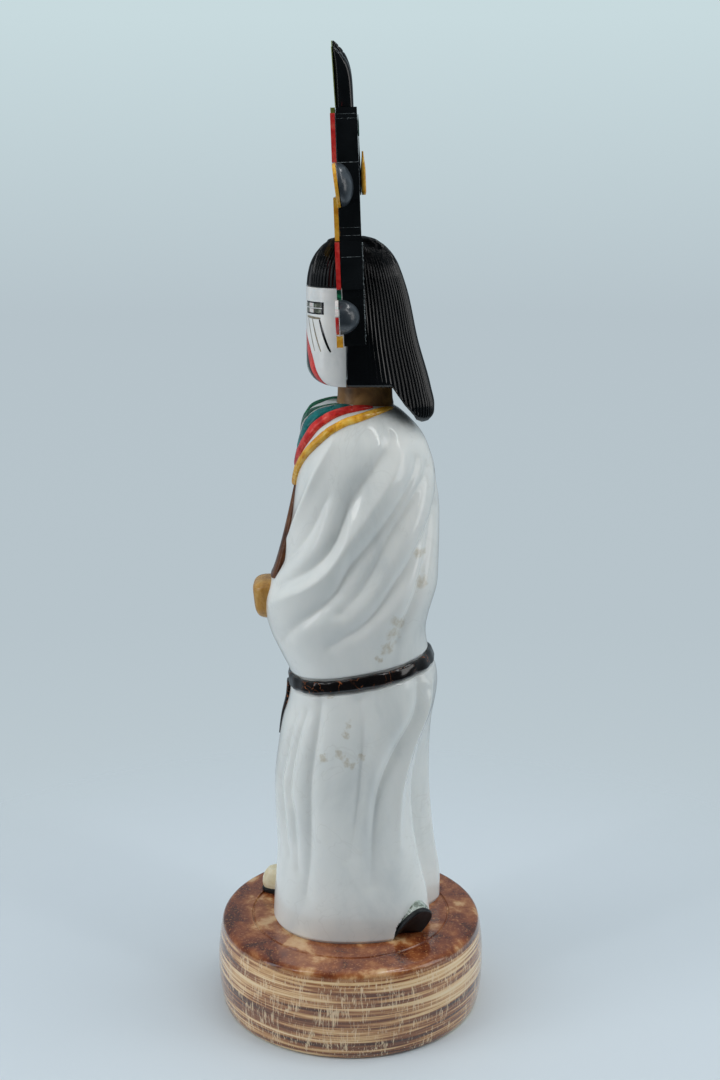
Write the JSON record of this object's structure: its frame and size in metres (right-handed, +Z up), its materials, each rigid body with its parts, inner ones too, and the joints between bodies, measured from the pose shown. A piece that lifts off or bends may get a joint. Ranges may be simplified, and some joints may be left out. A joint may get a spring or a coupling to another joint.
{
  "type": "kachina doll",
  "caption": "Standing masked and robed stone-inlay figure with an upright board across the head, long grooved hair and folded hands, on a round banded-stone base.",
  "frame": {"origin": "centre of the base's underside, on the surface the figure stands on", "axes": "+Z up along the figure, the figure faces -Y, its left side is +X"},
  "size_m": [0.1136, 0.1136, 0.3938],
  "materials": {
    "onyx_marble": "polished banded brown and cream onyx marble",
    "white_marble": "polished white marble with a few tan specks",
    "mask_white": "polished off-white stone",
    "brown_stone": "polished dark brown stone",
    "veined_black_stone": "polished black stone with copper-brown veins",
    "tan_stone": "smooth tan stone",
    "jet": "polished jet black stone",
    "coral": "polished red coral inlay",
    "amber": "polished yellow-orange shell inlay",
    "malachite": "polished green stone inlay",
    "turquoise": "polished teal stone inlay",
    "pearl_shell": "polished mother-of-pearl inlay",
    "cream_stone": "polished cream stone"
  },
  "bodies": {
    "root": {"base": "onyx_marble", "robe": "white_marble", "chest_panel": "brown_stone", "belt": "veined_black_stone", "sash_end": "veined_black_stone", "hands": "tan_stone", "neck": "tan_stone", "necklace_malachite": "malachite", "necklace_turquoise": "turquoise", "necklace_coral": "coral", "necklace_amber": "amber", "mask": "mask_white", "eye_left": "pearl_shell", "eye_right": "pearl_shell", "chin_coral": "coral", "chin_jet": "jet", "chin_green": "pearl_shell", "hair_front": "jet", "hair_back": "jet", "tableta": "jet", "top_coral_left": "coral", "top_coral_right": "coral", "top_green": "malachite", "cloud_shell": "pearl_shell", "waist_amber": "amber", "brow_coral_left": "coral", "brow_coral_right": "coral", "brow_malachite_left": "malachite", "brow_malachite_right": "malachite", "crest_feather_left": "jet", "crest_feather_middle": "jet", "crest_feather_right": "jet", "crest_inlay_left": "amber", "crest_inlay_middle": "amber", "crest_inlay_right": "amber", "side_feather_left": "jet", "side_feather_right": "jet", "side_inlay_left": "amber", "side_inlay_right": "amber", "ear_boss_left": "jet", "ear_boss_right": "jet", "ear_coral_left": "coral", "ear_coral_right": "coral", "ear_shell_left": "pearl_shell", "ear_shell_right": "pearl_shell", "pendant_left": "amber", "pendant_right": "amber", "back_plume": "jet", "back_plume_amber": "amber", "back_plume_green": "malachite", "left_shoe": "pearl_shell", "left_sole": "jet", "right_shoe": "cream_stone", "right_sole": "jet"}
  },
  "joints": []
}
